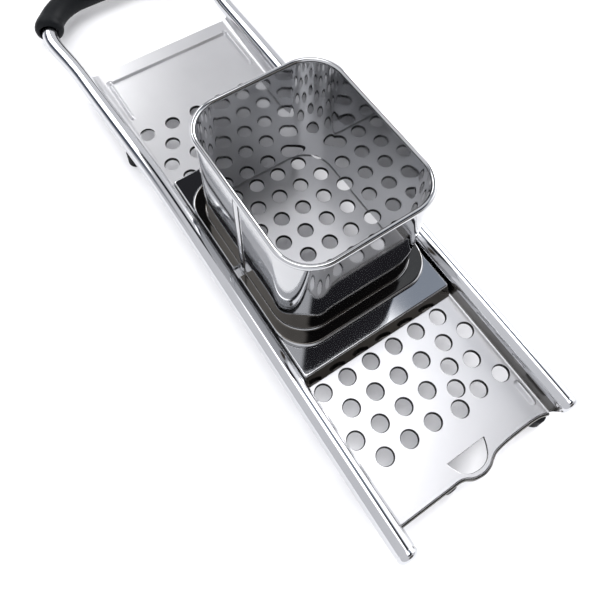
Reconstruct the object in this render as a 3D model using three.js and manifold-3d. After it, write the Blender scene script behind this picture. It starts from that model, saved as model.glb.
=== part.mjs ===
// Spaetzle maker: a perforated steel sheet carried by one bent round tube that
// forms both side rails and the handle loop, with a bottomless hopper on a
// sliding carriage. Millimetres, +Z up, +Y towards the handle, origin under
// the middle of the whole object at table height.
import * as THREE from 'three';
import { mergeVertices } from 'three/addons/utils/BufferGeometryUtils.js';
import Module from 'manifold-3d';

const wasm = await Module();
wasm.setup();

// ---- driving dimensions ----
const SHEET = 0.8;               // plate, carriage and hopper sheet thickness
const GAP = 0.3;                 // clearance between neighbouring pieces

const PLATE_TOP = 11.5;          // height of the perforated sheet
const NEAR_EDGE = -174.8;        // sheet edge at the pot end
const FAR_EDGE = 108.8;          // sheet edge at the handle end
const FLAT_HALF = 40.6;          // half width of the flat sheet
const SIDE_FOLD = 2.6;           // inside radius of the upturned sides
const SIDE_LEAN = 75;            // degrees of the side fold
const SIDE_RISE = 1.3;           // straight part above the fold
const CORNER_REACH = 2.4;        // the sides run this far past the near edge
const HEM_DROP = 2.4;            // turned-down near edge

const TUBE_R = 4.6;              // frame tube outer radius
const TUBE_BORE = 3.6;
const TUBE_X = 46.3;             // rail centre from the middle
const TUBE_Z = PLATE_TOP + 7.5;  // rail centre height
const LEFT_END = -181.6;         // where the straight tube stops, cap excluded
const RIGHT_END = -174.4;
const BEND_START = 16;           // from here the rails drift apart and sink towards the handle
const BEND_END = 126;
const BEND_X = 4.2;              // sideways drift
const BEND_DROP = 7.2;
const LEG_X = 54;                // leg centre where the handle bend starts
const LEG_Z = PLATE_TOP + 0.5;   // height of the handle bend and cross bar
const LOOP_R = 31;               // handle corner radius at the tube centre
const LOOP_Y = 175.2;            // handle cross bar centre

const GRIP_R = 7.5;
const GRIP_SKIP = 2;             // bend stations left bare before the grip starts

const HOLE_R = 4.05;
const HOLE_PITCH = 13;           // across
const ROW_PITCH = 12;            // along
const FIRST_ROW = -149.75;
const ROW_COUNT = 18;
const HOLES_PER_ROW = 6;
const FIRST_HOLE = -36.3;
const WIDE_PITCH = 15.3;         // the last rows are set wider
const WIDE_COUNT = 5;

const BEAD_H = 1.5;              // height of the pressed stops
const BEAD_W = 2.6;

const HOPPER_MID = -45.25;       // hopper centre along the plate at rest
const HOPPER_X = 36.5;           // outer half width of the hopper wall
const HOPPER_Y = 45.2;           // outer half length of the hopper wall
const HOPPER_CORNER = 17;
const HOPPER_FOOT = PLATE_TOP + 0.8;
const HOPPER_TOP = 84.5;
const RIM_R = 1.15;

const TRAY_TOP = PLATE_TOP + 6.5;
const TRAY_HALF = 41.2;
const TRAY_FRONT = -105.8;
const TRAY_BACK = 16;
const SKIRT_FLARE = 3;
const SKIRT_FOOT = PLATE_TOP + 0.45;

const FLANGE_TOP = PLATE_TOP + 8.8;
const FLANGE_Y = 52.6;           // half length at the base

const CENTRE_SHIFT = 1.4;        // brings the middle of the whole length to y = 0

const root = new THREE.Group();
root.name = 'spaetzle_maker';
const tool = new THREE.Group();
tool.name = 'tool';
tool.position.y = CENTRE_SHIFT;
root.add(tool);

// ---- finishes ----
const satin = new THREE.MeshStandardMaterial({ color: 0xc9c9cc, roughness: 0.38, metalness: 1 });
const mirror = new THREE.MeshStandardMaterial({ color: 0xd4d5d8, roughness: 0.12, metalness: 1 });
const softBlack = new THREE.MeshStandardMaterial({ color: 0x1b1d20, roughness: 0.62, metalness: 0 });
const rubber = new THREE.MeshStandardMaterial({ color: 0x151517, roughness: 0.8, metalness: 0 });

// ---- solids ----
function solid(geometry) {
  const bare = new THREE.BufferGeometry();
  bare.setAttribute('position', geometry.getAttribute('position').clone());
  if (geometry.index) bare.setIndex(geometry.index.clone());
  const merged = mergeVertices(bare, 1e-4);
  const mesh = new wasm.Mesh({
    numProp: 3,
    vertProperties: new Float32Array(merged.attributes.position.array),
    triVerts: new Uint32Array(merged.index.array),
  });
  return new wasm.Manifold(mesh);
}

function geometryOf(body) {
  const mesh = body.getMesh();
  const geometry = new THREE.BufferGeometry();
  const points = new Float32Array(mesh.vertProperties);
  geometry.setAttribute('position', new THREE.BufferAttribute(points, 3));
  geometry.setIndex(new THREE.BufferAttribute(new Uint32Array(mesh.triVerts), 1));
  return geometry;
}

function join(first, ...others) {
  let body = solid(first);
  for (const other of others) body = body.add(solid(other));
  return geometryOf(body);
}

function cut(first, ...others) {
  let body = solid(first);
  for (const other of others) body = body.subtract(solid(other));
  return geometryOf(body);
}

function addPiece(name, geometry, material, parent = tool) {
  const flat = geometry.index ? geometry.toNonIndexed() : geometry;
  flat.computeVertexNormals();
  const mesh = new THREE.Mesh(flat, material);
  mesh.name = name;
  parent.add(mesh);
  return mesh;
}

// ---- shape helpers ----
function polygon(points) {
  return new THREE.Shape(points.map(([x, y]) => new THREE.Vector2(x, y)));
}

function roundedRectPoints(halfX, halfY, radius, steps = 6) {
  const points = [];
  const corners = [[1, 1, 0], [-1, 1, 90], [-1, -1, 180], [1, -1, 270]];
  for (const [sx, sy, start] of corners) {
    for (let i = 0; i <= steps; i += 1) {
      const a = THREE.MathUtils.degToRad(start + (90 * i) / steps);
      const x = sx * (halfX - radius) + radius * Math.cos(a);
      const y = sy * (halfY - radius) + radius * Math.sin(a);
      points.push([x, y]);
    }
  }
  return points;
}

function circlePoints(radius, steps, cx = 0, cy = 0) {
  const points = [];
  for (let i = 0; i < steps; i += 1) {
    const a = (2 * Math.PI * (i + 0.5)) / steps;
    points.push([cx + radius * Math.cos(a), cy + radius * Math.sin(a)]);
  }
  return points;
}

function slab(outline, holes, z0, z1) {
  const shape = polygon(outline);
  shape.holes = holes.map((points) => new THREE.Path(polygon(points).getPoints()));
  const geometry = new THREE.ExtrudeGeometry(shape, { depth: z1 - z0, bevelEnabled: false });
  geometry.translate(0, 0, z0);
  return geometry;
}

// profile points are (x, z); the bar runs from y0 to y1
function bar(profile, y0, y1) {
  const geometry = new THREE.ExtrudeGeometry(polygon(profile), { depth: y1 - y0, bevelEnabled: false });
  geometry.rotateX(Math.PI / 2);
  geometry.translate(0, y1, 0);
  return geometry;
}

// profile points are (y, z); the bar runs from x0 to x1
function crossBar(profile, x0, x1) {
  const geometry = new THREE.ExtrudeGeometry(polygon(profile), { depth: x1 - x0, bevelEnabled: false });
  geometry.rotateX(Math.PI / 2);
  geometry.rotateZ(Math.PI / 2);
  geometry.translate(x0, 0, 0);
  return geometry;
}

function lathe(profile, steps = 16) {
  return new THREE.LatheGeometry(profile.map(([r, z]) => new THREE.Vector2(r, z)), steps);
}

// lathed about +Z instead of +Y
function post(profile, x, y, steps = 16) {
  const geometry = lathe(profile, steps);
  geometry.rotateX(Math.PI / 2);
  geometry.translate(x, y, 0);
  return geometry;
}

// a path that stops exactly at the listed stations
class StationPath extends THREE.Curve {
  constructor(stations) {
    super();
    this.stations = stations;
  }

  getPoint(t, target = new THREE.Vector3()) {
    const last = this.stations.length - 1;
    const at = Math.min(t * last, last);
    const i = Math.min(Math.floor(at + 1e-6), last - 1);
    return target.copy(this.stations[i]).lerp(this.stations[i + 1], at - i);
  }

  getPointAt(u, target) {
    return this.getPoint(u, target);
  }

  getTangentAt(u, target = new THREE.Vector3()) {
    const last = this.stations.length - 1;
    const i = Math.round(u * last);
    const before = this.stations[Math.max(i - 1, 0)];
    const after = this.stations[Math.min(i + 1, last)];
    return target.copy(after).sub(before).normalize();
  }
}

function sweep(stations, outline, holes = []) {
  const shape = polygon(outline);
  shape.holes = holes.map((points) => new THREE.Path(polygon(points).getPoints()));
  const path = new StationPath(stations);
  return new THREE.ExtrudeGeometry(shape, { steps: stations.length - 1, extrudePath: path });
}

const v3 = (x, y, z) => new THREE.Vector3(x, y, z);

// ---- frame path, left near end round to the right near end ----
function legStations(side, steps = 8) {
  const stations = [];
  for (let i = 0; i <= steps; i += 1) {
    const t = i / steps;
    const x = side * (TUBE_X + BEND_X * t ** 0.8);
    stations.push(v3(x, BEND_START + (BEND_END - BEND_START) * t, TUBE_Z - BEND_DROP * t ** 1.5));
  }
  return stations;
}

function cornerStations(side, steps = 7) {
  const stations = [];
  for (let i = 0; i <= steps; i += 1) {
    const a = (i / steps) * (Math.PI / 2);
    const x = side * (LEG_X - LOOP_R + LOOP_R * Math.cos(a));
    stations.push(v3(x, LOOP_Y - LOOP_R + LOOP_R * Math.sin(a), LEG_Z));
  }
  return stations;
}

const leftLeg = [...legStations(-1), ...cornerStations(-1)];
const rightLeg = [...legStations(1), ...cornerStations(1)];
const frameStations = [
  v3(-TUBE_X, LEFT_END, TUBE_Z),
  ...leftLeg,
  ...rightLeg.reverse(),
  v3(TUBE_X, RIGHT_END, TUBE_Z),
];
const tubeSteps = 12;
const tubeGeometry = sweep(frameStations, circlePoints(TUBE_R, tubeSteps), [circlePoints(TUBE_BORE, tubeSteps)]);
addPiece('frame_tube', tubeGeometry, mirror);

// ---- domed caps pushed into the open tube ends ----
function tubeCap(x, endY) {
  const profile = [
    [0, 8], [TUBE_BORE - GAP, 8], [TUBE_BORE - GAP, -GAP], [TUBE_R, -GAP],
    [TUBE_R, -1.4], [TUBE_R - 0.5, -2.5], [TUBE_R - 1.7, -3.4], [TUBE_R - 3.2, -3.8], [0, -3.9],
  ];
  const geometry = lathe(profile.reverse(), 14);
  geometry.translate(x, endY, TUBE_Z);
  return geometry;
}
addPiece('rail_cap_left', tubeCap(-TUBE_X, LEFT_END), mirror);
addPiece('rail_cap_right', tubeCap(TUBE_X, RIGHT_END), mirror);

// ---- soft grip over the handle loop ----
const legFoot = (side) => v3(side * (TUBE_X + BEND_X), BEND_END, TUBE_Z - BEND_DROP);
const loop = [...cornerStations(-1), ...cornerStations(1).reverse()];
const gripStations = loop.slice(GRIP_SKIP, loop.length - GRIP_SKIP);
const boreStations = [legFoot(-1), ...loop, legFoot(1)];
function gripLobe(side) {
  const profile = [
    [0, -1.6], [GRIP_R - 1.6, -1.6], [GRIP_R, -0.9], [GRIP_R + 0.8, 0.8], [GRIP_R + 0.9, 3.2],
    [GRIP_R + 0.4, 5.2], [GRIP_R - 0.6, 7], [0, 7],
  ];
  const geometry = lathe(profile, 14);
  const end = cornerStations(side)[GRIP_SKIP];
  geometry.rotateZ(side * 0.4);
  geometry.translate(end.x, end.y, end.z);
  return geometry;
}
const gripBody = join(sweep(gripStations, circlePoints(GRIP_R, 14)), gripLobe(-1), gripLobe(1));
const gripBore = sweep(boreStations, circlePoints(TUBE_R + GAP, tubeSteps));
addPiece('handle_grip', cut(gripBody, gripBore), softBlack);

// ---- perforated sheet ----
// four holes beside the pot notch are set off the regular rows
const OFFSET_HOLES = [[22.9, -124.9], [17.9, -134.9], [13.9, -144.2], [9.6, -151.7]];
// first hole of each of the three wide rows next to the handle
const WIDE_ROWS = [[-34.7, 30.3], [-27.9, 42.2], [-36.6, 54.8]];
function holeCentres() {
  const centres = [];
  for (let row = 0; row < ROW_COUNT - WIDE_ROWS.length; row += 1) {
    const halfStep = row % 2 === 0 ? 0.5 : 0;
    for (let i = 0; i < HOLES_PER_ROW; i += 1) {
      const replaced = (row === 0 && i === 3) || (row === 1 && i === 4) || (row === 2 && i === 4);
      if (replaced) continue;
      centres.push([FIRST_HOLE + HOLE_PITCH * (i + halfStep), FIRST_ROW + ROW_PITCH * row]);
    }
  }
  for (const [x, y] of WIDE_ROWS) {
    for (let i = 0; i < WIDE_COUNT; i += 1) centres.push([x + WIDE_PITCH * i, y]);
  }
  return [...centres, ...OFFSET_HOLES];
}

// D-shaped pot notch, wide side towards the handle
const NOTCH = [
  [-10.3, -166], [10.6, -166.1], [9.4, -169.4], [6.9, -173.8], [4.4, -175.2],
  [1, -175.6], [-2.6, -175.2], [-5.6, -174], [-8.6, -171], [-9.8, -168.6],
];
// near outline with the lip that bows out in front of the notch
const NEAR_LINE = [
  [-FLAT_HALF, NEAR_EDGE], [-9.6, NEAR_EDGE], [-6.6, -176.1], [-3, -177.6], [1.2, -178.1],
  [5.2, -177.2], [8.2, -175.6], [11.4, -174.1], [17, -173.2], [32, -173.1], [37, -173.7],
  [FLAT_HALF, NEAR_EDGE],
];
const plateOutline = [...NEAR_LINE, [FLAT_HALF, FAR_EDGE], [-FLAT_HALF, FAR_EDGE]];
const plateHoles = holeCentres().map(([x, y]) => circlePoints(HOLE_R, 12, x, y));
const plateSlab = slab(plateOutline, [NOTCH, ...plateHoles], PLATE_TOP - SHEET, PLATE_TOP);

// upturned side that runs under the inner face of the rail tube
function sideProfile(side) {
  const inner = [];
  const outer = [];
  for (let i = 0; i <= 5; i += 1) {
    const a = THREE.MathUtils.degToRad(-90 + (SIDE_LEAN * i) / 5);
    const cx = FLAT_HALF;
    const cz = PLATE_TOP + SIDE_FOLD;
    inner.push([cx + SIDE_FOLD * Math.cos(a), cz + SIDE_FOLD * Math.sin(a)]);
    outer.push([cx + (SIDE_FOLD + SHEET) * Math.cos(a), cz + (SIDE_FOLD + SHEET) * Math.sin(a)]);
  }
  const lean = THREE.MathUtils.degToRad(SIDE_LEAN);
  const up = [Math.cos(lean) * SIDE_RISE, Math.sin(lean) * SIDE_RISE];
  inner.push([inner[5][0] + up[0], inner[5][1] + up[1]]);
  outer.push([outer[5][0] + up[0], outer[5][1] + up[1]]);
  const start = [[FLAT_HALF - 1, PLATE_TOP], [FLAT_HALF - 1, PLATE_TOP - SHEET]];
  const points = [...inner.reverse(), ...start, ...outer];
  return points.map(([x, z]) => [side * x, z]);
}
const sideNear = NEAR_EDGE - CORNER_REACH;

// turned-down hem follows the near outline
function hem() {
  const front = NEAR_LINE;
  const back = NEAR_LINE.map(([x, y]) => [x, y + SHEET]).reverse();
  return slab([...front, ...back], [], PLATE_TOP - HEM_DROP, PLATE_TOP - SHEET / 2);
}

// rounded bead pressed up from the sheet, used as carriage stops
function bead(x0, y0, x1, y1, width) {
  const length = Math.hypot(x1 - x0, y1 - y0);
  const half = width / 2;
  const outline = roundedRectPoints(length / 2 + half, half, half * 0.999, 3);
  const geometry = slab(outline, [], -0.4, BEAD_H);
  geometry.rotateZ(Math.atan2(y1 - y0, x1 - x0));
  geometry.translate((x0 + x1) / 2, (y0 + y1) / 2, PLATE_TOP);
  return geometry;
}
const beadX = 38.4;
const beads = [
  bead(-beadX, 98.8, beadX, 98.8, BEAD_W),
  bead(-beadX, 68.6, -beadX, 98.8, BEAD_W),
  bead(beadX, 68.6, beadX, 98.8, BEAD_W),
  bead(38.3, -168, 38.3, -156.5, 3.6),
];
addPiece('strainer_plate', join(
  plateSlab,
  bar(sideProfile(1).reverse(), sideNear, FAR_EDGE),
  bar(sideProfile(-1), sideNear, FAR_EDGE),
  hem(),
  ...beads,
), satin);

// ---- rubber feet, each pushed over a welded stud ----
const UNDER_HEM = PLATE_TOP - HEM_DROP - GAP;
const UNDER_RAIL = TUBE_Z - TUBE_R - 1.9;   // the rail has sunk a little by then
const UNDER_SHEET = PLATE_TOP - SHEET - GAP;
const FEET = [
  { name: 'near_left', x: -13.4, y: -171.6, radius: 4.4, top: UNDER_HEM, studTop: UNDER_SHEET },
  { name: 'near_right', x: 37.6, y: -171.6, radius: 4.4, top: UNDER_HEM, studTop: UNDER_SHEET },
  { name: 'far_left', x: -47.9, y: 50.5, radius: 4.2, top: UNDER_SHEET, studTop: UNDER_RAIL },
  { name: 'far_right', x: 47.9, y: 50.5, radius: 4.2, top: UNDER_SHEET, studTop: UNDER_RAIL },
];
const STUD_R = 1.5;
const STUD_DEPTH = 5;
for (const foot of FEET) {
  const pocket = foot.top - STUD_DEPTH;
  const cup = [
    [0, 0], [foot.radius - 0.6, 0], [foot.radius, 0.8], [foot.radius - 0.3, foot.top - 0.6],
    [foot.radius - 0.9, foot.top], [STUD_R + GAP, foot.top], [STUD_R + GAP, pocket], [0, pocket],
  ];
  addPiece(`foot_${foot.name}`, post(cup, foot.x, foot.y, 14), rubber);
  const stud = [[0, pocket + GAP], [STUD_R, pocket + GAP], [STUD_R, foot.studTop], [0, foot.studTop]];
  addPiece(`foot_stud_${foot.name}`, post(stud, foot.x, foot.y, 10), satin);
}

// ---- carriage: everything that slides ----
const carriage = new THREE.Group();
carriage.name = 'carriage';
tool.add(carriage);

function hopperRect(grow, steps = 6) {
  const points = roundedRectPoints(HOPPER_X + grow, HOPPER_Y + grow, HOPPER_CORNER + grow, steps);
  return points.map(([x, y]) => [x, y + HOPPER_MID]);
}

const trayOutline = [
  [-TRAY_HALF, TRAY_FRONT], [TRAY_HALF, TRAY_FRONT], [TRAY_HALF, TRAY_BACK], [-TRAY_HALF, TRAY_BACK],
];
const trayTop = slab(trayOutline, [hopperRect(GAP)], TRAY_TOP - SHEET, TRAY_TOP);
function skirt(edge, outward) {
  const foot = edge + outward * SKIRT_FLARE;
  const profile = [
    [edge, TRAY_TOP], [foot, SKIRT_FOOT], [foot - outward * SHEET, SKIRT_FOOT],
    [edge - outward * SHEET, TRAY_TOP - SHEET],
  ];
  return crossBar(outward > 0 ? profile.reverse() : profile, -TRAY_HALF + 1.2, TRAY_HALF - 1.2);
}
function traySide(side) {
  const profile = [
    [side * TRAY_HALF, TRAY_TOP - SHEET / 2], [side * TRAY_HALF, PLATE_TOP + 1.6],
    [side * (TRAY_HALF - SHEET), PLATE_TOP + 1.6], [side * (TRAY_HALF - SHEET), TRAY_TOP - SHEET / 2],
  ];
  return bar(side > 0 ? profile.reverse() : profile, TRAY_FRONT, TRAY_BACK);
}
addPiece('carriage_tray', join(
  trayTop,
  skirt(TRAY_FRONT, -1),
  skirt(TRAY_BACK, 1),
  traySide(-1),
  traySide(1),
), mirror, carriage);

// raised foot flange around the hopper, open where the wall seam comes down
const seamY = HOPPER_MID - 1.5;
const FLANGE_BACK = 9.9;         // straight back edge of the flange base
function flangeLayer(halfX, halfY, radius, z0, z1) {
  const outline = roundedRectPoints(halfX, halfY, radius).map(([x, y]) => [x, y + HOPPER_MID]);
  return slab(outline, [hopperRect(GAP)], z0, z1);
}
const flangeBase = TRAY_TOP + GAP;
const flangeStep = flangeBase + 0.9;
const backStrip = [
  [-TRAY_HALF, HOPPER_MID], [-HOPPER_X - 1, HOPPER_MID], [-HOPPER_X - 1, 4], [HOPPER_X + 1, 4],
  [HOPPER_X + 1, HOPPER_MID], [TRAY_HALF, HOPPER_MID], [TRAY_HALF, FLANGE_BACK], [-TRAY_HALF, FLANGE_BACK],
];
const flangeGeometry = cut(
  join(
    flangeLayer(TRAY_HALF, FLANGE_Y, 16, flangeBase, flangeStep),
    slab([...backStrip].reverse(), [], flangeBase, flangeStep),
    flangeLayer(TRAY_HALF - 0.6, FLANGE_Y - 1.6, 15.5, flangeStep - 0.1, FLANGE_TOP),
  ),
  slab([[-50, seamY - 3], [-38.6, seamY - 3], [-38.6, seamY + 3], [-50, seamY + 3]], [], flangeStep, FLANGE_TOP + 1),
);
addPiece('hopper_flange', flangeGeometry, mirror, carriage);

// bottomless hopper wall
const wallTop = HOPPER_TOP - 2 * RIM_R;
addPiece('hopper_wall', slab(hopperRect(0), [hopperRect(-SHEET)], HOPPER_FOOT, wallTop), mirror, carriage);

// rolled rim
function rim() {
  const shape = polygon(hopperRect(0.05, 6));
  shape.holes = [new THREE.Path(polygon(hopperRect(-0.45, 6)).getPoints())];
  const geometry = new THREE.ExtrudeGeometry(shape, {
    depth: 0.4,
    bevelEnabled: true,
    bevelThickness: RIM_R - 0.2,
    bevelSize: 0.9,
    bevelSegments: 3,
  });
  geometry.translate(0, 0, HOPPER_TOP - RIM_R - 0.2);
  return geometry;
}
addPiece('hopper_rim', rim(), mirror, carriage);

// overlapped seam strip down the left wall
const seamOut = -HOPPER_X - GAP;
const seamTop = wallTop - 0.6;
addPiece('hopper_seam', slab(
  [[seamOut - 0.7, seamY - 1.7], [seamOut, seamY - 1.7], [seamOut, seamY + 1.7], [seamOut - 0.7, seamY + 1.7]],
  [],
  FLANGE_TOP + GAP,
  seamTop,
), mirror, carriage);

export default root;
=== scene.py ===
import math

import bmesh
import bpy
from mathutils import Matrix, Vector


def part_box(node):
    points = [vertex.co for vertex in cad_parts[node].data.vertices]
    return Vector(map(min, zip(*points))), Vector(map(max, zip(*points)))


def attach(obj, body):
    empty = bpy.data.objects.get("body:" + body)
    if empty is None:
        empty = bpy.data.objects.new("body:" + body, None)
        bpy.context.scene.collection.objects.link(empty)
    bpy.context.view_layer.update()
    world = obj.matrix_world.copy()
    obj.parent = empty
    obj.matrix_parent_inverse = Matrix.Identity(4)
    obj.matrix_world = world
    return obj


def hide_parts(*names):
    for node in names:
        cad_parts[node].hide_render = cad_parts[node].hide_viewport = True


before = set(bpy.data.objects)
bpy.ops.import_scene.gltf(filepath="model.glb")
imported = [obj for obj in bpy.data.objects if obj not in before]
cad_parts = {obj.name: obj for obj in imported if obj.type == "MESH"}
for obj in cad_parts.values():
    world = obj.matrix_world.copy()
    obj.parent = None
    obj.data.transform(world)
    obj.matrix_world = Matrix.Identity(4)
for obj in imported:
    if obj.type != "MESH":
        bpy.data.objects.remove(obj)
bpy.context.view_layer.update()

# The drawing is in millimetres, with Y counted from a line through the sheet. make_piece turns it
# into metres and moves it along Y by SHIFT.
MM = 0.001
SHEET = 0.8                             # thickness of the steel
FAR = 108.8                             # the sheet's far edge in the drawing

PLATE_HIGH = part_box("strainer_plate")[1]
TRAY_LOW, TRAY_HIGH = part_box("carriage_tray")
FLANGE_LOW, FLANGE_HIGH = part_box("hopper_flange")
WALL_LOW, WALL_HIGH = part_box("hopper_wall")
RIM_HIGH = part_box("hopper_rim")[1]
SEAM_LOW, SEAM_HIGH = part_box("hopper_seam")
TUBE_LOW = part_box("frame_tube")[0]

SHIFT = PLATE_HIGH[1] / MM - FAR
TOP = WALL_LOW[2] / MM - SHEET          # height of the perforated sheet's upper face


# ---- mesh helpers ----
def make_piece(name, verts, faces, look, body, stands_for, slot, sharp=35):
    mesh = bpy.data.meshes.new(name)
    mesh.from_pydata([(x * MM, (y + SHIFT) * MM, z * MM) for x, y, z in verts], [], faces)
    bm = bmesh.new()
    bm.from_mesh(mesh)
    bmesh.ops.remove_doubles(bm, verts=bm.verts, dist=1e-6)
    bmesh.ops.recalc_face_normals(bm, faces=bm.faces)
    bm.to_mesh(mesh)
    bm.free()
    shade(mesh, sharp)
    mesh.materials.append(look)
    obj = bpy.data.objects.new(name, mesh)
    bpy.context.scene.collection.objects.link(obj)
    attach(obj, body)
    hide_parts(*stands_for)
    return obj


def shade(mesh, sharp):
    mesh.shade_smooth()
    mesh.set_sharp_from_angle(angle=math.radians(sharp))


def add(obj, kind, **settings):
    modifier = obj.modifiers.new(kind.lower(), kind)
    for key, value in settings.items():
        setattr(modifier, key, value)


def paint(obj, look, wanted):
    """Gives one more material to the faces for which wanted(face, x, y, z) holds."""
    obj.data.materials.append(look)
    index = len(obj.data.materials) - 1
    for polygon in obj.data.polygons:
        x, y, z = (v / MM for v in polygon.center)
        if wanted(polygon, x, y - SHIFT, z):
            polygon.material_index = index


def loft(loops, closed=True, cap_start=False, cap_end=False, around=False):
    """Faces between rings of the same number of points.

    closed joins each ring's ends; around joins the last ring to the first.
    """
    count = len(loops[0])
    rings = len(loops)
    verts = [point for ring in loops for point in ring]
    faces = []
    for r in range(rings if around else rings - 1):
        after = (r + 1) % rings
        for i in range(count if closed else count - 1):
            j = (i + 1) % count
            faces.append((r * count + i, r * count + j, after * count + j, after * count + i))
    if cap_start:
        faces.append(tuple(range(count))[::-1])
    if cap_end:
        faces.append(tuple((rings - 1) * count + i for i in range(count)))
    return verts, faces


def merge(*parts):
    verts, faces = [], []
    for part_verts, part_faces in parts:
        base = len(verts)
        verts += part_verts
        faces += [tuple(i + base for i in face) for face in part_faces]
    return verts, faces


def ring_frames(path, closed=False):
    """A smoothly turning pair of side directions at every point of a path."""
    points = [Vector(p) for p in path]
    count = len(points)
    frames = []
    for i in range(count):
        before = points[(i - 1) % count] if closed else points[max(i - 1, 0)]
        after = points[(i + 1) % count] if closed else points[min(i + 1, count - 1)]
        tangent = (after - before).normalized()
        side = tangent.cross(Vector((0, 0, 1))).normalized()
        frames.append((side, side.cross(tangent).normalized()))
    return points, frames


def tube(path, radii, segments, closed=False):
    points, frames = ring_frames(path, closed)
    if not hasattr(radii, "__len__"):
        radii = [radii] * len(points)
    loops = []
    for point, (side, up), radius in zip(points, frames, radii):
        ring = []
        for k in range(segments):
            a = 2 * math.pi * k / segments
            ring.append(tuple(point + side * math.cos(a) * radius + up * math.sin(a) * radius))
        loops.append(ring)
    return loops


def lathe(profile, centre, axis, segments):
    """profile is (radius, along) from one pole to the other."""
    loops = []
    cx, cy, cz = centre
    for radius, along in profile:
        ring = []
        for k in range(segments):
            a = 2 * math.pi * k / segments
            u, v = radius * math.cos(a), radius * math.sin(a)
            upright = (cx + u, cy + v, cz + along)
            ring.append(upright if axis == "Z" else (cx + u, cy + along, cz + v))
        loops.append(ring)
    return loft(loops, cap_start=True, cap_end=True)


def arc(cx, cz, radius, start, end, steps):
    points = []
    for i in range(steps + 1):
        a = math.radians(start + (end - start) * i / steps)
        points.append((cx + radius * math.cos(a), cz + radius * math.sin(a)))
    return points


def circle(radius, cx, cy, steps=40):
    turns = [2 * math.pi * i / steps for i in range(steps)]
    return [(cx + radius * math.cos(a), cy + radius * math.sin(a)) for a in turns]


def rounded_rect(half_x, half_y, radius, middle_y=0.0, corner_steps=16, straight_steps=10, left_ys=()):
    """Ring of points; every ring from the same steps has the same count and pairing.

    left_ys, if given, replaces the even stations along the left side.
    """
    points = []
    corners = [(1, 1, 0), (-1, 1, 90), (-1, -1, 180), (1, -1, 270)]
    for index, (sx, sy, start) in enumerate(corners):
        cx, cy = sx * (half_x - radius), sy * (half_y - radius)
        for i in range(corner_steps + 1):
            a = math.radians(start + 90 * i / corner_steps)
            points.append((cx + radius * math.cos(a), cy + radius * math.sin(a) + middle_y))
        next_sx, next_sy, next_start = corners[(index + 1) % 4]
        next_a = math.radians(next_start)
        ex = next_sx * (half_x - radius) + radius * math.cos(next_a)
        ey = next_sy * (half_y - radius) + radius * math.sin(next_a) + middle_y
        last_x, last_y = points[-1]
        if index == 1 and left_ys:
            points += [(ex, y) for y in sorted(left_ys, reverse=True)]
        else:
            for i in range(1, straight_steps):
                t = i / straight_steps
                points.append((last_x + (ex - last_x) * t, last_y + (ey - last_y) * t))
    return points


def at_height(points, z):
    return [(x, y, z) for x, y in points]


def relax(points, rounds):
    """Evens out small kinks without moving the ends."""
    current = [Vector(p) for p in points]
    for _ in range(rounds):
        previous = [p.copy() for p in current]
        for i in range(1, len(current) - 1):
            current[i] = previous[i] * 0.5 + (previous[i - 1] + previous[i + 1]) * 0.25
    return [tuple(p) for p in current]


def run_lengths(points):
    """Distance from the first point to each point along the line."""
    lengths = [0.0]
    for a, b in zip(points, points[1:]):
        lengths.append(lengths[-1] + (Vector(b) - Vector(a)).length)
    return lengths


def polyline(points, step=0.8):
    out = []
    for (ax, ay), (bx, by) in zip(points, points[1:]):
        count = max(2, int(math.hypot(bx - ax, by - ay) / step))
        out += [(ax + (bx - ax) * i / count, ay + (by - ay) * i / count) for i in range(count)]
    out.append(points[-1])
    return out


def smooth_line(points, steps):
    """Catmull-Rom through the points."""
    out = []
    padded = [points[0]] + list(points) + [points[-1]]
    for i in range(1, len(padded) - 2):
        p0, p1, p2, p3 = (Vector((*p, 0)) for p in padded[i - 1:i + 3])
        for s in range(steps):
            t = s / steps
            v = 0.5 * ((2 * p1) + (p2 - p0) * t + (2 * p0 - 5 * p1 + 4 * p2 - p3) * t * t
                       + (3 * p1 - p0 - 3 * p2 + p3) * t ** 3)
            out.append((v.x, v.y))
    out.append(tuple(points[-1]))
    return out


# ---- materials ----
NOISE_LOW, NOISE_HIGH = 0.3, 0.7        # most noise values lie between these
STEEL_CLOUD, SOFT_CLOUD = 24, 40        # noise scales per metre: blotches of 42 and 25 mm
BRUSH_SCALE = 5200                      # grain of 0.2 mm
CLOUD_DETAIL, FINE_DETAIL, WAVE_DETAIL = 4, 2, 1.5
WAVE_DEPTH, SOFT_DEPTH = 0.001, 0.0002  # bump distances in metres
SOFT_SPECULAR = 0.12


def material(name, metallic):
    mat = bpy.data.materials.new(name)
    mat.use_nodes = True
    tree = mat.node_tree
    shader = tree.nodes["Principled BSDF"]
    shader.inputs["Metallic"].default_value = metallic
    coords = tree.nodes.new("ShaderNodeTexCoord")
    return mat, tree, shader, coords


def noise(tree, coords, scale, detail, stretch=(1, 1, 1)):
    mapping = tree.nodes.new("ShaderNodeMapping")
    mapping.inputs["Scale"].default_value = stretch
    tree.links.new(coords.outputs["Object"], mapping.inputs["Vector"])
    node = tree.nodes.new("ShaderNodeTexNoise")
    node.inputs["Scale"].default_value = scale
    node.inputs["Detail"].default_value = detail
    tree.links.new(mapping.outputs["Vector"], node.inputs["Vector"])
    return node


def spread(tree, source, low, high, socket):
    """Maps a noise value to low..high and feeds a socket."""
    node = tree.nodes.new("ShaderNodeMapRange")
    node.inputs["From Min"].default_value = NOISE_LOW
    node.inputs["From Max"].default_value = NOISE_HIGH
    node.inputs["To Min"].default_value = low
    node.inputs["To Max"].default_value = high
    tree.links.new(source, node.inputs["Value"])
    tree.links.new(node.outputs["Result"], socket)


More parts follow.
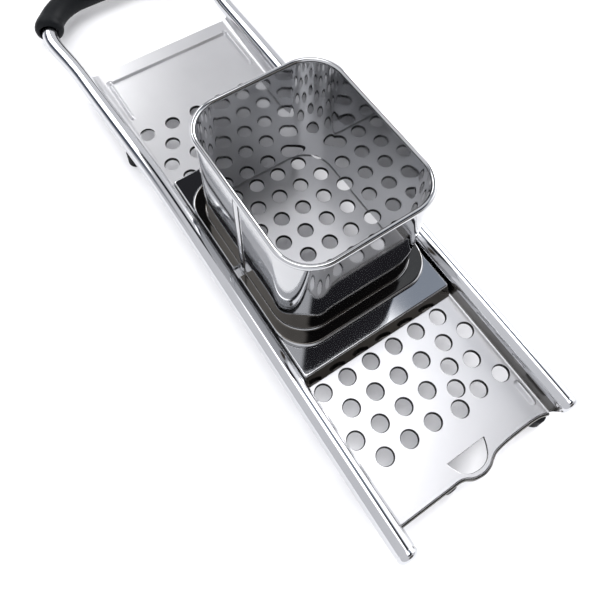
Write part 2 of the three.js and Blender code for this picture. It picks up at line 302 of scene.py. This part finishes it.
def tint(tree, source, dark, light, socket):
    ramp = tree.nodes.new("ShaderNodeValToRGB")
    ends = ((NOISE_LOW, dark), (NOISE_HIGH, light))
    for element, (position, color) in zip(ramp.color_ramp.elements, ends):
        element.position = position
        element.color = (*color, 1)
    tree.links.new(source, ramp.inputs["Fac"])
    tree.links.new(ramp.outputs["Color"], socket)


def bump(tree, source, strength, distance, shader):
    node = tree.nodes.new("ShaderNodeBump")
    node.inputs["Strength"].default_value = strength
    node.inputs["Distance"].default_value = distance
    tree.links.new(source, node.inputs["Height"])
    tree.links.new(node.outputs["Normal"], shader.inputs["Normal"])


def steel(name, dark, light, rough, wave, wave_scale, stretch=(1, 1, 1), metallic=1.0):
    """Steel with blotches from dark to light, and wave the strength of its slow unevenness."""
    mat, tree, shader, coords = material(name, metallic)
    cloud = noise(tree, coords, STEEL_CLOUD, CLOUD_DETAIL)
    fine = noise(tree, coords, BRUSH_SCALE, FINE_DETAIL, stretch)
    tint(tree, cloud.outputs["Fac"], dark, light, shader.inputs["Base Color"])
    spread(tree, fine.outputs["Fac"], *rough, shader.inputs["Roughness"])
    waves = noise(tree, coords, wave_scale, WAVE_DETAIL)
    bump(tree, waves.outputs["Fac"], wave, WAVE_DEPTH, shader)
    return mat


def soft(name, dark, light, rough, grain_scale, grain):
    mat, tree, shader, coords = material(name, 0.0)
    cloud = noise(tree, coords, SOFT_CLOUD, CLOUD_DETAIL)
    fine = noise(tree, coords, grain_scale, FINE_DETAIL)
    tint(tree, cloud.outputs["Fac"], dark, light, shader.inputs["Base Color"])
    spread(tree, cloud.outputs["Fac"], *rough, shader.inputs["Roughness"])
    bump(tree, fine.outputs["Fac"], grain, SOFT_DEPTH, shader)
    shader.inputs["Specular IOR Level"].default_value = SOFT_SPECULAR
    return mat


POLISHED = steel("polished_steel_look", (0.56, 0.565, 0.58), (0.62, 0.625, 0.64), (0.05, 0.09), 0.05, 22)
HOPPER_STEEL = steel("hopper_steel_look", (0.54, 0.545, 0.555), (0.60, 0.605, 0.615), (0.035, 0.07),
                     0.12, 16)
SATIN = steel("satin_sheet_look", (0.585, 0.585, 0.597), (0.645, 0.645, 0.657), (0.30, 0.34),
              0.08, 13, stretch=(1, 0.35, 1), metallic=0.86)
# the next three are painted light, not the steel's own colour
# painted dark reflection for the near hem and the right side wall
PAINTED_SIDE_REFLECTION = steel("side_painted_reflection_look", (0.13, 0.126, 0.12), (0.22, 0.214, 0.206), (0.12, 0.18), 0.12, 30)
# painted shade for the walls of the holes and the notch
PAINTED_EDGE_SHADE = steel("cut_edge_painted_shade_look", (0.025, 0.024, 0.024), (0.045, 0.044, 0.043), (0.4, 0.55), 0.1, 60)
# painted dark reflection for the tray's front skirt and the flange's flat top
PAINTED_DARK_REFLECTION = steel("skirt_painted_reflection_look", (0.10, 0.092, 0.082), (0.16, 0.15, 0.135), (0.06, 0.10), 0.10, 30)
STUD = steel("stud_steel_look", (0.50, 0.50, 0.51), (0.60, 0.60, 0.61), (0.3, 0.4), 0.1, 60)
GRIP = soft("soft_grip_look", (0.0042, 0.0050, 0.0060), (0.0058, 0.0066, 0.0078), (0.44, 0.52), 1500, 0.25)
RUBBER = soft("foot_rubber_look", (0.007, 0.007, 0.008), (0.011, 0.011, 0.012), (0.6, 0.75), 900, 0.4)

# ---- frame tube ----
TUBE_R = 4.6
RAIL_X, RAIL_Z = 46.3, TOP + 7.5
LEFT_END = TUBE_LOW[1] / MM - SHIFT
RIGHT_END = LEFT_END + 7.2              # the right rail is that much shorter
BEND = (16.0, 126.0)                    # where the rails leave the straight, and where the legs end
LEG_OUT, LEG_OUT_POWER = 4.2, 0.8       # how the legs spread and sink between the two
LEG_DOWN, LEG_DOWN_POWER = 7.2, 1.5
LEG_X, LEG_Z = 54.0, TOP + 0.5
LOOP_R, LOOP_Y = 31.0, 175.2
LOOP_CORNER_Y = LOOP_Y - LOOP_R
RAIL_STEPS, LEG_STEPS, LOOP_STEPS = 14, 26, 16
RAIL_STOP = 8                           # the straight stops this far before the bend


def leg_point(t):
    x = RAIL_X + LEG_OUT * max(t, 0) ** LEG_OUT_POWER
    return x, BEND[0] + (BEND[1] - BEND[0]) * t, RAIL_Z - LEG_DOWN * max(t, 0) ** LEG_DOWN_POWER


def loop_point(a):
    return LEG_X - LOOP_R + LOOP_R * math.cos(a), LOOP_CORNER_Y + LOOP_R * math.sin(a), LEG_Z


def half_path(end_y):
    """Right-hand side from the near end to the middle of the cross bar."""
    straight = BEND[0] - RAIL_STOP - end_y
    points = [(RAIL_X, end_y + straight * i / RAIL_STEPS, RAIL_Z) for i in range(RAIL_STEPS + 1)]
    points += [leg_point(t / LEG_STEPS) for t in range(1, LEG_STEPS + 1)]
    lx, ly, lz = leg_point(1)
    points += [(lx + (LEG_X - lx) * t, ly + (LOOP_CORNER_Y - ly) * t, lz + (LEG_Z - lz) * t)
               for t in (0.33, 0.66)]
    points += [loop_point(math.pi / 2 * i / LOOP_STEPS) for i in range(LOOP_STEPS + 1)]
    points += [(x, LOOP_Y, LEG_Z) for x in (15, 7.5)]
    return points


right = half_path(RIGHT_END)
left = [(-x, y, z) for x, y, z in half_path(LEFT_END)]
frame_path = relax(left + [(0, LOOP_Y, LEG_Z)] + right[::-1], 7)
make_piece("frame_tube_look", *loft(tube(frame_path, TUBE_R, 48), cap_start=True, cap_end=True),
           POLISHED, "frame", ["frame_tube"], "polished_steel")

CAP_NECK, CAP_NECK_TOP = TUBE_R - 0.9, 0.2      # the part inside the tube
CAP_EDGE, CAP_SEAM = TUBE_R - 0.25, -0.12       # the fine groove against the tube
CAP_ROUND, CAP_ROUND_AT = 2.6, -1.5
CAP_TIP = -4.15
CAP_SQUASH = 0.92
POLE_R = 0.001                                  # instead of 0 where a profile meets its axis


def cap_look(name, node, x, end_y):
    profile = [(0, CAP_NECK_TOP), (CAP_NECK, CAP_NECK_TOP), (CAP_NECK, CAP_SEAM), (CAP_EDGE, CAP_SEAM)]
    profile += arc(TUBE_R - CAP_ROUND, CAP_ROUND_AT, CAP_ROUND, 0, -90, 10)
    profile += [(1.0, CAP_TIP), (0.0, CAP_TIP)]
    squashed = [(max(r, POLE_R), a * CAP_SQUASH) for r, a in profile]
    make_piece(name, *lathe(squashed, (x, end_y, RAIL_Z), "Y", 48), POLISHED, "frame", [node],
               "polished_steel", sharp=50)


cap_look("rail_end_left_look", "rail_cap_left", -RAIL_X, LEFT_END)
cap_look("rail_end_right_look", "rail_cap_right", RAIL_X, RIGHT_END)

# ---- grip: swells at both ends, the tube leaves it from a recess ----
GRIP_R = 7.5
GRIP_FROM = 21.5                        # degrees along the bend where the grip starts
GRIP_STEPS = 32
SWELL, SWELL_AT, SWELL_WIDTH = 1.0, 4.0, 4.5
TIP_LENGTH, TIP_DROP = 3.0, 2.0         # the rounded last bit at each end
RECESS = (5.6, 5.1, 5.0, 5.0)


def grip_path():
    angles = [math.radians(GRIP_FROM + (90 - GRIP_FROM) * i / GRIP_STEPS) for i in range(GRIP_STEPS + 1)]
    side = [loop_point(a) for a in angles] + [(x, LOOP_Y, LEG_Z) for x in (17, 11, 5)]
    other = [(-x, y, z) for x, y, z in side]
    return side + [(0, LOOP_Y, LEG_Z)] + other[::-1]


def grip_radius(distance, total):
    end = min(distance, total - distance)
    radius = GRIP_R + SWELL * math.exp(-((end - SWELL_AT) / SWELL_WIDTH) ** 2)
    if end <= TIP_LENGTH:
        inward = (TIP_LENGTH - end) / TIP_LENGTH
        radius -= TIP_DROP * (1 - math.sqrt(max(0.0, 1 - inward ** 2)))
    return radius


path = relax(grip_path(), 3)
lengths = run_lengths(path)
grip_loops = tube(path, [grip_radius(d, lengths[-1]) for d in lengths], 56)
start_recess = tube(path[:4], RECESS, 56)
end_recess = tube(path[-4:], RECESS[::-1], 56)
make_piece("handle_grip_look", *loft(start_recess[::-1] + grip_loops + end_recess[::-1]), GRIP, "frame",
           ["handle_grip"], "grip_plastic", sharp=80)

# ---- perforated sheet ----
NEAR, HALF = -174.7, 40.6
HOLE_R = 4.05
HOLE_ROWS, HOLES_IN_ROW = 15, 6
FIRST_HOLE = (-36.3, -149.75)
PITCH_X, PITCH_Y = 13, 12
OFFSET_HOLES = [(22.9, -124.9), (17.9, -134.9), (13.9, -144.1), (9.5, -151.9)]
LEFT_OUT = ((0, 3), (1, 4), (2, 4))     # (row, number) of the holes that those stand for
WIDE_ROWS = ((-34.7, 30.3), (-27.9, 42.2), (-36.6, 54.8))      # first hole of each
WIDE_PITCH, WIDE_COUNT = 15.3, 5
THICK = 1.7                             # punched edges read a little thicker than the sheet
EDGE = 0.16                             # rounding of the sheet's cut edges
TAPER = 0.4                             # the holes are that much narrower underneath
HEM_R, HEM_OUT, HEM_DROP = 1.15, 0.75, -2.4     # the near edge's bend, and how far it turns down
NEAR_LINE = smooth_line([
    (-HALF, NEAR), (-25, NEAR), (-15, NEAR), (-10.4, NEAR), (-7.6, -175.3), (-4.2, -177.1),
    (0.8, -177.8), (5.0, -176.9), (8.4, -175.0), (11.8, -173.8), (19, -173.2), (30, -173.1),
    (36, -173.5), (HALF, NEAR)], 6)
NOTCH_FRONT = smooth_line([
    (-10.3, -166.0), (-9.2, -169.2), (-7.2, -172.6), (-4.0, -174.6), (0.3, -175.2),
    (4.2, -174.5), (7.2, -172.4), (9.2, -169.4), (10.6, -166.1)], 5)
NOTCH_BACK = [(10.6, -166.1), (5.0, -166.05), (-5.0, -166.0)]


def hole_centres():
    centres = list(OFFSET_HOLES)
    for x, y in WIDE_ROWS:
        centres += [(x + WIDE_PITCH * i, y) for i in range(WIDE_COUNT)]
    for row in range(HOLE_ROWS):
        stagger = PITCH_X / 2 if row % 2 == 0 else 0.0
        for i in range(HOLES_IN_ROW):
            if (row, i) not in LEFT_OUT:
                centres.append((FIRST_HOLE[0] + PITCH_X * i + stagger, FIRST_HOLE[1] + PITCH_Y * row))
    return centres


def flat_sheet(outline, holes, low, high, rounding, name):
    """A filled flat sheet with rounded edges, made as a mesh."""
    curve = bpy.data.curves.new(name, "CURVE")
    curve.dimensions = "2D"
    curve.fill_mode = "BOTH"
    curve.extrude = ((high - low) / 2 - rounding) * MM
    curve.bevel_depth = rounding * MM
    curve.bevel_resolution = 2
    for ring in [outline] + holes:
        spline = curve.splines.new("POLY")
        spline.points.add(len(ring) - 1)
        for point, (x, y) in zip(spline.points, ring):
            point.co = (x * MM, (y + SHIFT) * MM, 0, 1)
        spline.use_cyclic_u = True
    holder = bpy.data.objects.new(name, curve)
    bpy.context.scene.collection.objects.link(holder)
    bpy.context.view_layer.update()
    mesh = bpy.data.meshes.new_from_object(holder.evaluated_get(bpy.context.evaluated_depsgraph_get()))
    bpy.data.objects.remove(holder)
    bpy.data.curves.remove(curve)
    mesh.transform(Matrix.Translation((0, 0, (low + high) / 2 * MM)))
    return mesh


def taper_holes(mesh, centres):
    """The punch leaves the holes a little narrower underneath."""
    rim = HOLE_R + 0.3
    for vertex in mesh.vertices:
        vx, vy, vz = vertex.co.x / MM, vertex.co.y / MM - SHIFT, vertex.co.z / MM
        if vz >= TOP - THICK / 2:
            continue
        for hx, hy in centres:
            reach = math.hypot(vx - hx, vy - hy)
            if reach < rim:
                vertex.co.x = (hx + (vx - hx) * (reach - TAPER) / reach) * MM
                vertex.co.y = (hy + (vy - hy) * (reach - TAPER) / reach + SHIFT) * MM


centres = hole_centres()
sheet_outline = [(x, y + HEM_OUT) for x, y in NEAR_LINE] + [(HALF, FAR), (-HALF, FAR)]
cuts = [NOTCH_BACK + NOTCH_FRONT[:-1]] + [circle(HOLE_R + EDGE, x, y) for x, y in centres]
sheet_mesh = flat_sheet(sheet_outline, cuts, TOP - THICK, TOP, EDGE, "sheet_tmp")
taper_holes(sheet_mesh, centres)

SIDE_STATIONS, SIDE_STEPS = 90, 18      # along the sheet and up the side
SIDE_THICK = 0.75
SIDE_END = (0.97, 0.22)                 # where on the tube the side ends: inwards and up, in radii
CORNER_SLANT, SLANT_LENGTH = 3.2, 9.0   # the near corners lean towards the user
OVERLAP = 0.4                           # how far the sides reach over the flat sheet


def rail_centre(y):
    t = min(max((y - BEND[0]) / (BEND[1] - BEND[0]), 0.0), 1.0)
    x, _, z = leg_point(t)
    return x, z - TOP


def side_wall(side):
    """The sheet sweeps up at both sides until it meets the rail tube."""
    inside = NEAR + 0.8
    loops = []
    for station in range(SIDE_STATIONS + 1):
        y = inside + (FAR - inside) * station / SIDE_STATIONS
        rail_x, rail_z = rail_centre(y)
        end = Vector((rail_x - TUBE_R * SIDE_END[0], rail_z + TUBE_R * SIDE_END[1]))
        bow = 0.25 * (end.x - HALF) if end.x > HALF + 2.2 else 0.0
        points = [Vector((HALF - OVERLAP, 0.0)), Vector((HALF + 1.5 + bow, 0.0)),
                  Vector((end.x - 0.1 - bow * 0.5, end.y * 0.22)), end]
        front, back = [], []
        slant = -CORNER_SLANT * max(0.0, 1 - (y - inside) / SLANT_LENGTH) ** 2
        for i in range(SIDE_STEPS + 1):
            u = i / SIDE_STEPS
            spot = (points[0] * (1 - u) ** 3 + points[1] * 3 * u * (1 - u) ** 2
                    + points[2] * 3 * u * u * (1 - u) + points[3] * u ** 3)
            leaning = y + slant * u * u
            drop = SIDE_THICK * (1 - 0.6 * u)
            front.append((side * spot.x, leaning, TOP + spot.y))
            back.append((side * (spot.x + SIDE_THICK * u), leaning, TOP + spot.y - drop))
        loops.append(front + back[::-1])
    return loft(loops, cap_start=True, cap_end=True)


def hem_strip():
    """The near edge turns down along the outline."""
    bend = [(HEM_OUT - HEM_R * math.sin(a), -HEM_R + HEM_R * math.cos(a))
            for a in (math.pi / 16 * i for i in range(9))]
    profile = [(1.0, 0.0)] + bend + [(-0.4, HEM_DROP), (0.4, HEM_DROP), (0.4, -1.3)]
    loops = []
    count = len(NEAR_LINE)
    for i, (x, y) in enumerate(NEAR_LINE):
        ax, ay = NEAR_LINE[max(i - 1, 0)]
        bx, by = NEAR_LINE[min(i + 1, count - 1)]
        tx, ty = bx - ax, by - ay
        length = math.hypot(tx, ty)
        nx, ny = ty / length, -tx / length
        loops.append([(x - nx * d, y - ny * d, TOP + z) for d, z in profile])
    return loft(loops, cap_start=True, cap_end=True)


SUNK = 0.02                             # pressed details start that far inside the sheet


def bead(start, end, width, height, end_taper=2.2):
    """A soft rib pressed up along a line, with rounded ends."""
    line = [Vector((x, y, 0)) for x, y in polyline([start, end])]
    lengths = run_lengths(line)
    loops = []
    for i, point in enumerate(line):
        before, after = line[max(i - 1, 0)], line[min(i + 1, len(line) - 1)]
        tangent = (after - before).normalized()
        normal = Vector((tangent.y, -tangent.x, 0))
        rest = min(lengths[i], lengths[-1] - lengths[i])
        fade = 1.0 if rest >= end_taper else math.sqrt(max(0.0, 1 - (1 - rest / end_taper) ** 2))
        ring = []
        for k in range(-8, 9):
            u = k / 8
            h = height * fade * (0.5 + 0.5 * math.cos(math.pi * u)) ** 0.8
            spot = point + normal * (u * width / 2 * (0.35 + 0.65 * fade))
            ring.append((spot.x, spot.y, TOP + h - SUNK))
        loops.append(ring)
    return loft(loops, closed=False)


def dome(cx, cy, radius, height):
    loops = []
    for i in range(13):
        r = radius * (1 - i / 12)
        h = height * (0.5 + 0.5 * math.cos(math.pi * r / radius))
        loops.append(at_height(circle(max(r, 0.01), cx, cy, 32), TOP + h - SUNK))
    return loft(loops, cap_end=True)


STOP_X, STOP_NEAR, STOP_FAR = 38.4, 68.2, 98    # the U of beads that stops the tray
details = merge(
    side_wall(1), side_wall(-1), hem_strip(),
    bead((-STOP_X + 1, STOP_FAR + 0.8), (STOP_X - 1, STOP_FAR + 0.8), 2.4, 1.7, 1.0),
    bead((-STOP_X, STOP_NEAR), (-STOP_X, STOP_FAR), 3.0, 1.6),
    bead((STOP_X, STOP_NEAR), (STOP_X, STOP_FAR), 3.0, 1.6),
    bead((38.0, -168.4), (38.0, -155.6), 3.5, 2.2),
    dome(STOP_X - 0.2, 99.3, 2.4, 1.5), dome(-STOP_X + 0.2, 99.3, 2.4, 1.5),
)
plate = make_piece("strainer_plate_look", *details, SATIN, "frame", ["strainer_plate"], "satin_steel",
                   sharp=40)
bm = bmesh.new()
bm.from_mesh(plate.data)
bm.from_mesh(sheet_mesh)
bm.to_mesh(plate.data)
bm.free()
shade(plate.data, 40)
add(plate, "WEIGHTED_NORMAL", keep_sharp=True, weight=100)


# faces that get the painted shade: the walls of the holes and the notch
def gets_painted_edge_shade(face, x, y, z):
    in_notch = abs(x) < 10.7 and y > -175.6
    return (abs(face.normal.z) < 0.85 and TOP - THICK < z < TOP
            and abs(x) < HALF - 1 and (y > NEAR + 2.5 or in_notch))


# faces that get the painted dark reflection: the near hem, and the right side wall up to y 40
def gets_painted_side_reflection(face, x, y, z):
    on_hem = y < -172.4 and abs(face.normal.z) < 0.97 and z < TOP - 0.01 and abs(x) < HALF
    return on_hem or (x > HALF + 0.35 and y < 40)


paint(plate, PAINTED_EDGE_SHADE, gets_painted_edge_shade)
paint(plate, PAINTED_SIDE_REFLECTION, gets_painted_side_reflection)

# ---- feet ----
FOOT_ROUND = 0.9
STUD_HOLE, STUD_HOLE_DEPTH = 1.9, 1.5
AXIS_R = 0.01                           # instead of 0 where a profile meets its axis
for place in ("near_left", "near_right", "far_left", "far_right"):
    low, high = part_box("foot_" + place)
    cx, cy = (low[0] + high[0]) / 2 / MM, (low[1] + high[1]) / 2 / MM - SHIFT
    radius, top = (high[0] - low[0]) / 2 / MM, high[2] / MM
    profile = [(AXIS_R, 0), (radius - FOOT_ROUND, 0)]
    profile += arc(radius - FOOT_ROUND, FOOT_ROUND, FOOT_ROUND, -90, 0, 6)
    profile += [(radius - 0.2, top - 1.2)]
    profile += arc(radius - 0.2 - FOOT_ROUND, top - FOOT_ROUND, FOOT_ROUND, 0, 90, 6)
    profile += [(STUD_HOLE, top), (STUD_HOLE - 0.05, top - STUD_HOLE_DEPTH),
                (AXIS_R, top - STUD_HOLE_DEPTH)]
    make_piece("foot_" + place + "_look", *lathe(profile, (cx, cy, 0.0), "Z", 40), RUBBER, "frame",
               ["foot_" + place], "foot_rubber", sharp=60)
    for stud_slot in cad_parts["foot_stud_" + place].material_slots:
        stud_slot.material = STUD

# ---- sliding tray ----
MID = (WALL_LOW[1] + WALL_HIGH[1]) / 2 / MM - SHIFT
WALL_X = (WALL_HIGH[0] - WALL_LOW[0]) / 2 / MM
WALL_Y = (WALL_HIGH[1] - WALL_LOW[1]) / 2 / MM
CORNER = 17.0
TRAY_TOP = TRAY_HIGH[2] / MM
TRAY_X = TRAY_HIGH[0] / MM
TRAY_FRONT, TRAY_BACK = -105.8, 16.0
TRAY_CORNER = 1.2
LIP_R, LIP_STEPS = 0.9, 6               # where the top turns over into the skirt
SKIRT_TOP = TRAY_TOP - 0.75
SKIRT_FOOT = TRAY_LOW[2] / MM + 0.02
SKIRT_FLARE = 3.0                       # the skirts lean outwards to the front and the back


def tray_ring(inset_x, inset_y, z):
    front, back = TRAY_FRONT + inset_y, TRAY_BACK - inset_y
    ring = rounded_rect(TRAY_X - inset_x, (back - front) / 2, TRAY_CORNER, (front + back) / 2)
    return at_height(ring, z)


opening = rounded_rect(WALL_X + 0.3, WALL_Y + 0.3, CORNER + 0.3, MID)
tray_rings = [at_height(opening, TRAY_TOP), tray_ring(1.4, 1.0, TRAY_TOP)]
for i in range(1, LIP_STEPS + 1):
    a = math.radians(90 * i / LIP_STEPS)
    out, lift = LIP_R * math.sin(a), LIP_R * (1 - math.cos(a))
    tray_rings.append(tray_ring(1.4 - out, 1.0 - out * 0.9, TRAY_TOP - lift * 0.8))
for t in (0.3, 0.65, 1.0):
    tray_rings.append(tray_ring(0.5, 0.2 - SKIRT_FLARE * t, SKIRT_TOP - (SKIRT_TOP - SKIRT_FOOT) * t))
tray = make_piece("carriage_tray_look", *loft(tray_rings), HOPPER_STEEL, "carriage", ["carriage_tray"],
                  "polished_steel", sharp=60)
# painted dark reflection on the tray's front skirt
paint(tray, PAINTED_DARK_REFLECTION, lambda face, x, y, z: y < TRAY_FRONT + 0.1 and abs(face.normal.z) < 0.8)
add(tray, "SOLIDIFY", thickness=SHEET * 0.9 * MM, offset=-1.0)
add(tray, "BEVEL", width=0.12 * MM, segments=2, limit_method="ANGLE")
add(tray, "WEIGHTED_NORMAL", keep_sharp=True, weight=100)

# ---- flange: rounded foot of the hopper, open where the seam comes down ----
SEAM_Y = (SEAM_LOW[1] + SEAM_HIGH[1]) / 2 / MM - SHIFT
GAP_HALF = 2.8                          # half the opening at the seam
FLANGE_X = FLANGE_HIGH[0] / MM - 0.6
FLANGE_Y = 51.2
FLANGE_CORNER = 15.5
FLANGE_TOP = FLANGE_HIGH[2] / MM
FLANGE_FOOT = FLANGE_LOW[2] / MM
FLAT_TOP = FLANGE_TOP - 0.12
left_ys = [MID + 28 - 56 * i / 14 for i in range(1, 14)]
left_ys = [y for y in left_ys if abs(y - SEAM_Y) > 3.4]
left_ys += [SEAM_Y + 3.0, SEAM_Y + 2.6, SEAM_Y - 2.6, SEAM_Y - 3.0]
inner_ring = rounded_rect(WALL_X + 0.05, WALL_Y + 0.05, CORNER, MID, left_ys=left_ys)
outer_ring = rounded_rect(FLANGE_X, FLANGE_Y, FLANGE_CORNER, MID, left_ys=left_ys)


def flange_ring(t, z):
    """The ring a share t of the way from the wall to the flange's outer edge."""
    ring = []
    for (ax, ay), (bx, by) in zip(inner_ring, outer_ring):
        here, height = t, z
        if ax < -WALL_X + 1 and abs(ay - SEAM_Y) < GAP_HALF:
            here = min(t, 0.25)
            height = min(z, FLANGE_FOOT + 0.9) if t > 0.2 else z
        ring.append((ax + (bx - ax) * here, ay + (by - ay) * here, height))
    return ring


flange_rings = [flange_ring(0.0, FLANGE_TOP + 0.5), flange_ring(0.02, FLANGE_TOP + 0.1),
                flange_ring(0.05, FLANGE_TOP - 0.08)]
flange_rings += [flange_ring(t, FLAT_TOP) for t in (0.12, 0.3, 0.55, 0.74)]
for i in range(9):
    a = math.radians(90 * i / 8)
    flange_rings.append(flange_ring(0.80 + 0.20 * math.sin(a), FLAT_TOP - 1.0 * (1 - math.cos(a))))
flange_rings += [flange_ring(1.0, FLANGE_FOOT + 0.5), flange_ring(1.0, FLANGE_FOOT)]
flange = make_piece("hopper_flange_look", *loft(flange_rings), HOPPER_STEEL, "carriage",
                    ["hopper_flange"], "polished_steel", sharp=50)
# painted dark reflection on the flange's flat top
paint(flange, PAINTED_DARK_REFLECTION, lambda face, x, y, z: abs(face.normal.z) > 0.97)

# ---- hopper wall, rim and seam ----
WALL_FOOT, WALL_TOP = WALL_LOW[2] / MM, WALL_HIGH[2] / MM
WALL_STEPS = 24
RIM_TOP = RIM_HIGH[2] / MM
RIM_R, RIM_DOWN, RIM_IN = 1.32, 1.3, 0.15       # roll radius, and its axis below the top and inwards
SEAM_X0, SEAM_X1 = SEAM_LOW[0] / MM, SEAM_HIGH[0] / MM + 0.28
SEAM_Z0, SEAM_Z1 = SEAM_LOW[2] / MM, SEAM_HIGH[2] / MM
SEAM_HALF, SEAM_STEPS, SEAM_RINGS = 1.9, 12, 20


def wall_ring(change, z):
    ring = rounded_rect(WALL_X + change, WALL_Y + change, CORNER + change, MID, 20, 14)
    return at_height(ring, z)


heights = [WALL_FOOT + (WALL_TOP - WALL_FOOT) * i / WALL_STEPS for i in range(WALL_STEPS + 1)]
wall_rings = [wall_ring(0, z) for z in heights] + [wall_ring(-SHEET, z) for z in heights[::-1]]
make_piece("hopper_wall_look", *loft(wall_rings, around=True), HOPPER_STEEL, "carriage",
           ["hopper_wall"], "polished_steel", sharp=50)

rim_ring = rounded_rect(WALL_X - RIM_IN, WALL_Y - RIM_IN, CORNER - RIM_IN, MID, 28, 16)
rim_loops = tube(at_height(rim_ring, RIM_TOP - RIM_DOWN), RIM_R, 24, closed=True)
make_piece("hopper_rim_look", *loft(rim_loops, around=True), HOPPER_STEEL, "carriage",
           ["hopper_rim"], "polished_steel", sharp=80)

seam_profile = []
for i in range(SEAM_STEPS + 1):
    a = math.pi * i / SEAM_STEPS
    seam_profile.append((SEAM_X1 - (SEAM_X1 - SEAM_X0) * math.sin(a) ** 0.7, -SEAM_HALF * math.cos(a)))
seam_loops = [[(x, SEAM_Y + y, SEAM_Z0 + (SEAM_Z1 - SEAM_Z0) * i / SEAM_RINGS) for x, y in seam_profile]
              for i in range(SEAM_RINGS + 1)]
make_piece("hopper_seam_look", *loft(seam_loops, cap_start=True, cap_end=True), HOPPER_STEEL,
           "carriage", ["hopper_seam"], "polished_steel", sharp=25)

# ---- floor ----
FLOOR_HALF = 2.5                        # metres
floor_mat, floor_tree, floor_shader, floor_coords = material("floor_look", 0.0)
floor_cloud = noise(floor_tree, floor_coords, 3, 2)
tint(floor_tree, floor_cloud.outputs["Fac"], (0.93, 0.93, 0.94), (0.945, 0.945, 0.955),
     floor_shader.inputs["Base Color"])
floor_shader.inputs["Roughness"].default_value = 0.8
floor_shader.inputs["Specular IOR Level"].default_value = 0.1
floor_mesh = bpy.data.meshes.new("floor")
floor_mesh.from_pydata([(FLOOR_HALF * sx, FLOOR_HALF * sy, 0)
                        for sx, sy in ((-1, -1), (1, -1), (1, 1), (-1, 1))], [], [(0, 1, 2, 3)])
floor_mesh.materials.append(floor_mat)
floor = bpy.data.objects.new("floor", floor_mesh)
bpy.context.scene.collection.objects.link(floor)

# ---- studio light ----
SKY = (0.87, 0.875, 0.91)
# what the steel reflects: direction, degrees from it where the patch starts and stops fading, colour
SKY_PATCHES = [
    ((0.0, 1.0, 0.16), 8, 26, (0.16, 0.17, 0.20)),
    ((-0.55, 0.72, 0.42), 8, 20, (0.10, 0.11, 0.15)),
    ((0.95, 0.05, 0.40), 18, 36, (1.9, 1.9, 1.95)),
    ((0.18, 0.56, 0.81), 9, 13, (0.03, 0.03, 0.035)),
    ((0.52, 0.16, 0.84), 9, 15, (0.34, 0.38, 0.45)),
    ((0.27, -0.30, 0.91), 20, 26, (0.03, 0.03, 0.035)),
    ((0.12, 0.15, 0.98), 8, 15, (4.2, 4.2, 4.3)),
    ((0.25, -0.90, 0.34), 12, 26, (0.10, 0.085, 0.07)),
]
MIX_A, MIX_B, MIX_RESULT = 6, 7, 2      # the mix node's colour sockets

world = bpy.data.worlds.new("studio")
bpy.context.scene.world = world
world.use_nodes = True
sky_tree = world.node_tree
background = sky_tree.nodes["Background"]
sky_coords = sky_tree.nodes.new("ShaderNodeTexCoord")


def patch(direction, inner, outer):
    """1 towards direction, 0 away from it, soft between the two angles."""
    dot = sky_tree.nodes.new("ShaderNodeVectorMath")
    dot.operation = "DOT_PRODUCT"
    dot.inputs[1].default_value = Vector(direction).normalized()
    sky_tree.links.new(sky_coords.outputs["Generated"], dot.inputs[0])
    ramp = sky_tree.nodes.new("ShaderNodeMapRange")
    ramp.interpolation_type = "SMOOTHSTEP"
    ramp.inputs["From Min"].default_value = math.cos(math.radians(outer))
    ramp.inputs["From Max"].default_value = math.cos(math.radians(inner))
    sky_tree.links.new(dot.outputs["Value"], ramp.inputs["Value"])
    return ramp.outputs["Result"]


def over(base, factor, color):
    mix = sky_tree.nodes.new("ShaderNodeMix")
    mix.data_type = "RGBA"
    sky_tree.links.new(factor, mix.inputs["Factor"])
    if isinstance(base, tuple):
        mix.inputs[MIX_A].default_value = (*base, 1)
    else:
        sky_tree.links.new(base, mix.inputs[MIX_A])
    mix.inputs[MIX_B].default_value = (*color, 1)
    return mix.outputs[MIX_RESULT]


sky = SKY
for direction, inner, outer, color in SKY_PATCHES:
    sky = over(sky, patch(direction, inner, outer), color)
sky_tree.links.new(sky, background.inputs["Color"])
background.inputs["Strength"].default_value = 1.0


def softbox(name, place, size, power):
    """A lamp at place, in metres, that faces the origin."""
    light = bpy.data.lights.new(name, "AREA")
    light.shape = "RECTANGLE"
    light.size, light.size_y = size
    light.energy = power
    obj = bpy.data.objects.new(name, light)
    obj.location = place
    obj.rotation_euler = (-Vector(place)).to_track_quat("-Z", "Y").to_euler()
    bpy.context.scene.collection.objects.link(obj)
    return obj


for fill in (softbox("fill_left", (-1.0, -0.2, 1.0), (1.2, 1.2), 9.5),
             softbox("fill_front", (0.2, -1.2, 1.0), (1.2, 1.2), 8.5)):
    fill.visible_glossy = False
softbox("softbox_right", (1.2, 0.35, 0.75), (0.8, 0.8), 8)
softbox("softbox_back", (-0.2, 1.1, 0.9), (0.9, 0.5), 4)

# ---- camera, fitted to the photo's hole lattice; its place is in metres ----
CAMERA_X, CAMERA_Y, CAMERA_Z = -0.093919, -0.168768, 0.297686
CAMERA_TURN = Matrix(((0.836636, 0.466082, -0.287765), (-0.547662, 0.721695, -0.423347),
                      (0.010364, 0.511785, 0.859051)))
camera_data = bpy.data.cameras.new("camera")
camera_data.sensor_width = 36
camera_data.lens = 39.082
camera_data.shift_x = 0.01827
camera_data.shift_y = -0.14904
camera_data.clip_start = 0.01
camera = bpy.data.objects.new("camera", camera_data)
camera_place = Matrix.Translation((CAMERA_X, SHIFT * MM + CAMERA_Y, CAMERA_Z))
camera.matrix_world = camera_place @ CAMERA_TURN.to_4x4()
bpy.context.scene.collection.objects.link(camera)
bpy.context.scene.camera = camera
bpy.context.scene.view_settings.view_transform = "Standard"
